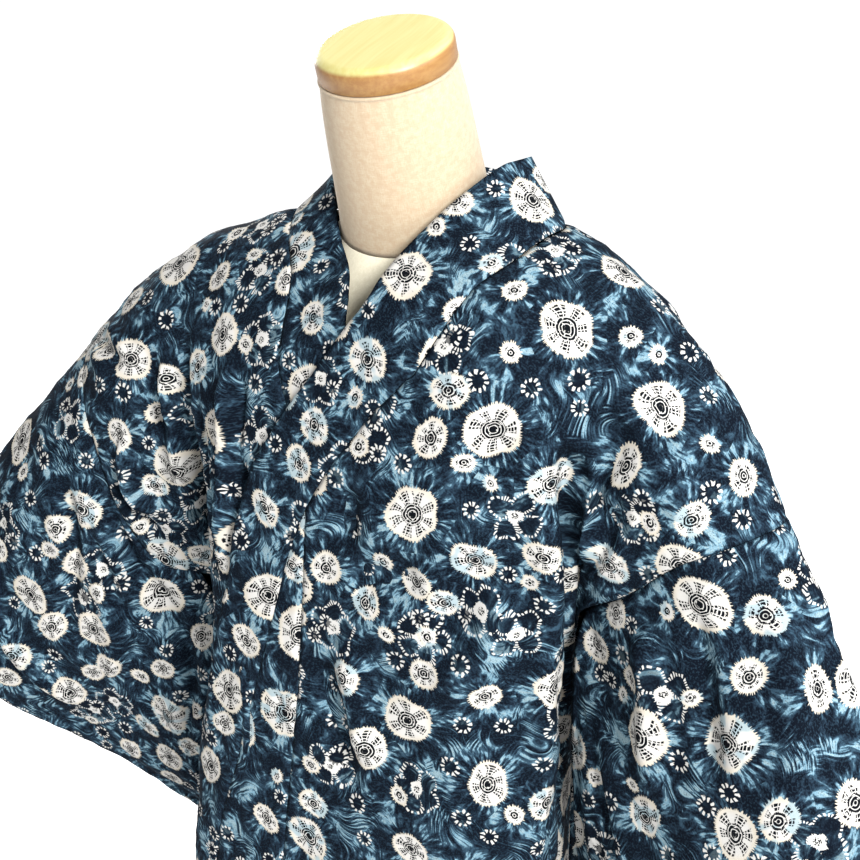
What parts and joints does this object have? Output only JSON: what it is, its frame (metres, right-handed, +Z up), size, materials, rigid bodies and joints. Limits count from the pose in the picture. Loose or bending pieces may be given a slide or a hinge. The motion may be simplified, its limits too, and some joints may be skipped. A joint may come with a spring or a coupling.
{
  "type": "cotton yukata robe on a limbless dress form with its stand",
  "caption": "Unlined cotton robe with a crossed band collar and open hanging sleeves, draped left over right on a limbless dress form on a round stand.",
  "frame": {"origin": "centre of the stand's flat underside, on the floor", "axes": "+Z up, the wearer's front towards -Y, the wearer's left towards +X"},
  "size_m": [0.973, 0.33, 1.4697],
  "materials": {
    "cotton": "matt printed cotton",
    "form_cloth": "matt woven cover",
    "wood": "satin lacquer",
    "steel": "satin",
    "paint": "satin"
  },
  "bodies": {
    "root": {"left_body_panel": "cotton", "right_body_panel": "cotton", "left_overlap_panel": "cotton", "right_overlap_panel": "cotton", "collar": "cotton", "left_sleeve": "cotton", "right_sleeve": "cotton", "form_torso": "form_cloth", "form_neck": "form_cloth", "neck_cap": "wood", "pole": "steel", "base_plate": "paint"}
  },
  "joints": []
}
